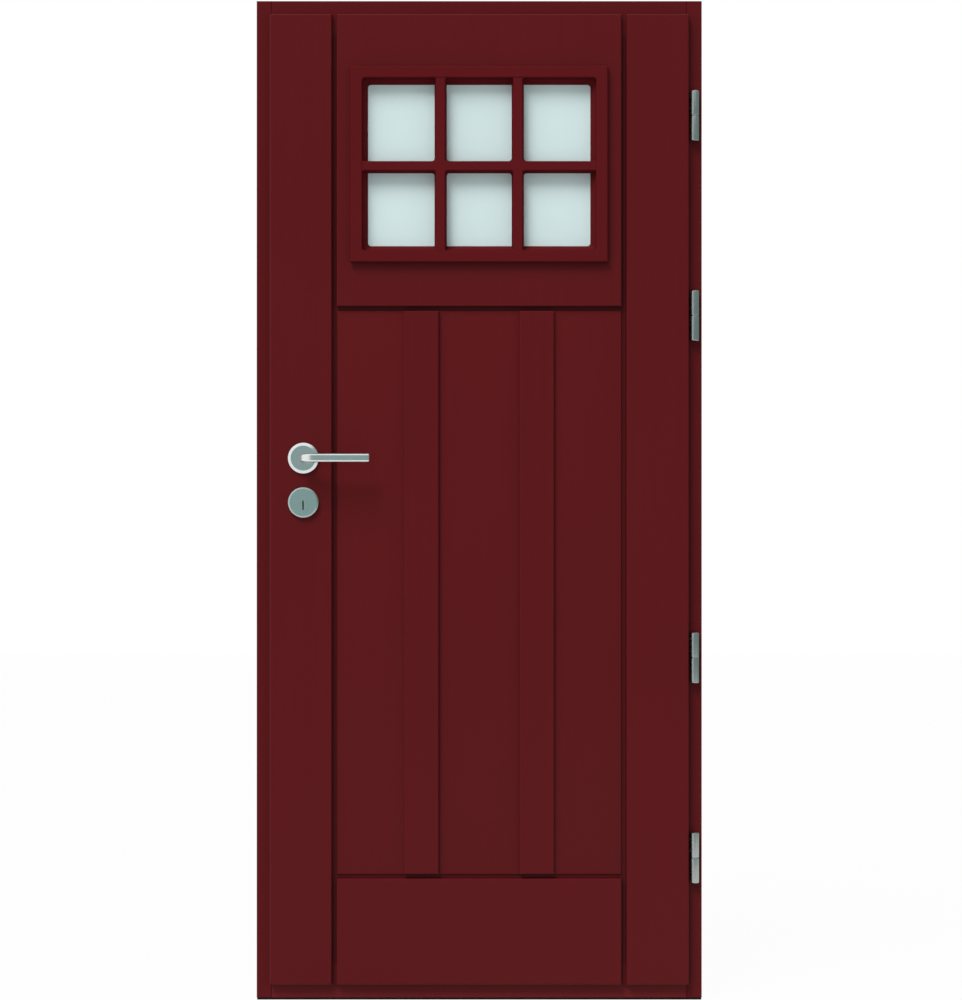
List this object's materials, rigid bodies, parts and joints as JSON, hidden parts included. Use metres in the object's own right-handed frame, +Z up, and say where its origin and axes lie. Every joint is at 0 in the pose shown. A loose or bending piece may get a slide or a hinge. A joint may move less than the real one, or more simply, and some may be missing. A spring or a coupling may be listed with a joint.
{
  "type": "panelled front door",
  "caption": "Outward-opening panelled timber front door in its frame, with a barred window, flat battens, lever handles, a mortise lock and barrel hinges.",
  "frame": {"origin": "middle of the underside of the sealing strip below the sill, at half the frame's depth", "axes": "+X to the right seen from outside, towards the hinges; -Y to the outside; +Z up"},
  "size_m": [0.948, 0.191, 2.127],
  "materials": {
    "painted_frame": "satin wine-red paint on planed timber",
    "painted_leaf": "satin wine-red paint on planed timber",
    "satin_glass": "satin etched, pale blue green",
    "clear_glass": "clear float glass",
    "spacer_bar": "mill finish",
    "black_rubber": "matt extruded rubber",
    "satin_steel": "satin brushed stainless steel",
    "hinge_steel": "satin nickel plated steel",
    "lock_steel": "zinc plated steel",
    "screw_steel": "zinc plated steel"
  },
  "bodies": {
    "frame": {"hinge_jamb": "painted_frame", "lock_jamb": "painted_frame", "head_rail": "painted_frame", "threshold": "painted_frame", "sill_seal": "black_rubber", "frame_gasket": "black_rubber", "frame_screws": "screw_steel", "strike_plate": "lock_steel", "strike_screws": "screw_steel", "hinge_1_frame_knuckle": "hinge_steel", "hinge_2_frame_knuckle": "hinge_steel", "hinge_3_frame_knuckle": "hinge_steel", "hinge_4_frame_knuckle": "hinge_steel", "hinge_pins": "hinge_steel", "hinge_washers": "hinge_steel"},
    "handle": {"outer_lever": "satin_steel", "inner_lever": "satin_steel", "spindle": "lock_steel", "follower": "lock_steel"},
    "latch": {"latch_bolt": "lock_steel"},
    "bolt_drive": {"key_plug": "satin_steel", "bolt_cam": "lock_steel", "thumb_turn": "satin_steel"},
    "bolt": {"dead_bolt": "lock_steel"},
    "leaf": {"lock_stile": "painted_leaf", "hinge_stile": "painted_leaf", "window_board": "painted_leaf", "bottom_board": "painted_leaf", "centre_panel": "painted_leaf", "outer_left_batten": "painted_leaf", "outer_right_batten": "painted_leaf", "inner_left_batten": "painted_leaf", "inner_right_batten": "painted_leaf", "outer_casing": "painted_leaf", "inner_casing": "painted_leaf", "outer_bars": "painted_leaf", "inner_bars": "painted_leaf", "outer_pane": "satin_glass", "middle_pane": "clear_glass", "inner_pane": "clear_glass", "outer_spacer": "spacer_bar", "inner_spacer": "spacer_bar", "outer_glazing_tape": "black_rubber", "inner_glazing_tape": "black_rubber", "setting_blocks": "black_rubber", "outer_rosette": "satin_steel", "inner_rosette": "satin_steel", "cylinder_housing": "satin_steel", "turn_rosette": "satin_steel", "hinge_1_leaf_knuckle": "hinge_steel", "hinge_2_leaf_knuckle": "hinge_steel", "hinge_3_leaf_knuckle": "hinge_steel", "hinge_4_leaf_knuckle": "hinge_steel", "lock_case": "lock_steel", "lock_cover": "lock_steel", "lock_forend": "lock_steel", "casing_screws": "screw_steel", "forend_screws": "screw_steel"}
  },
  "joints": [
    {"name": "leaf_swing", "type": "hinge", "parent": "frame", "child": "leaf", "pos_m": [0.458, -0.0685, 1.0655], "axis": [0, 0, 1], "range_deg": [0, 170]},
    {"name": "handle_turn", "type": "hinge", "parent": "leaf", "child": "handle", "pos_m": [-0.373, -0.0365, 1.153], "axis": [0, 1, 0], "range_deg": [0, 45], "stiffness_Nm_per_rad": 1.5, "springref_deg": -40.11},
    {"name": "latch_slide", "type": "slide", "parent": "leaf", "child": "latch", "axis": [1, 0, 0], "range_m": [0, 0.012]},
    {"name": "bolt_turn", "type": "hinge", "parent": "leaf", "child": "bolt_drive", "pos_m": [-0.373, -0.0365, 1.053], "axis": [0, -1, 0], "range_deg": [0, 90]},
    {"name": "bolt_throw", "type": "slide", "parent": "leaf", "child": "bolt", "axis": [-1, 0, 0], "range_m": [0, 0.02]}
  ],
  "couplings": [
    {"joint": "latch_slide", "follows": "handle_turn", "m_per_rad": 0.015278},
    {"joint": "bolt_turn", "follows": "bolt_throw", "rad_per_m": 78.54}
  ]
}
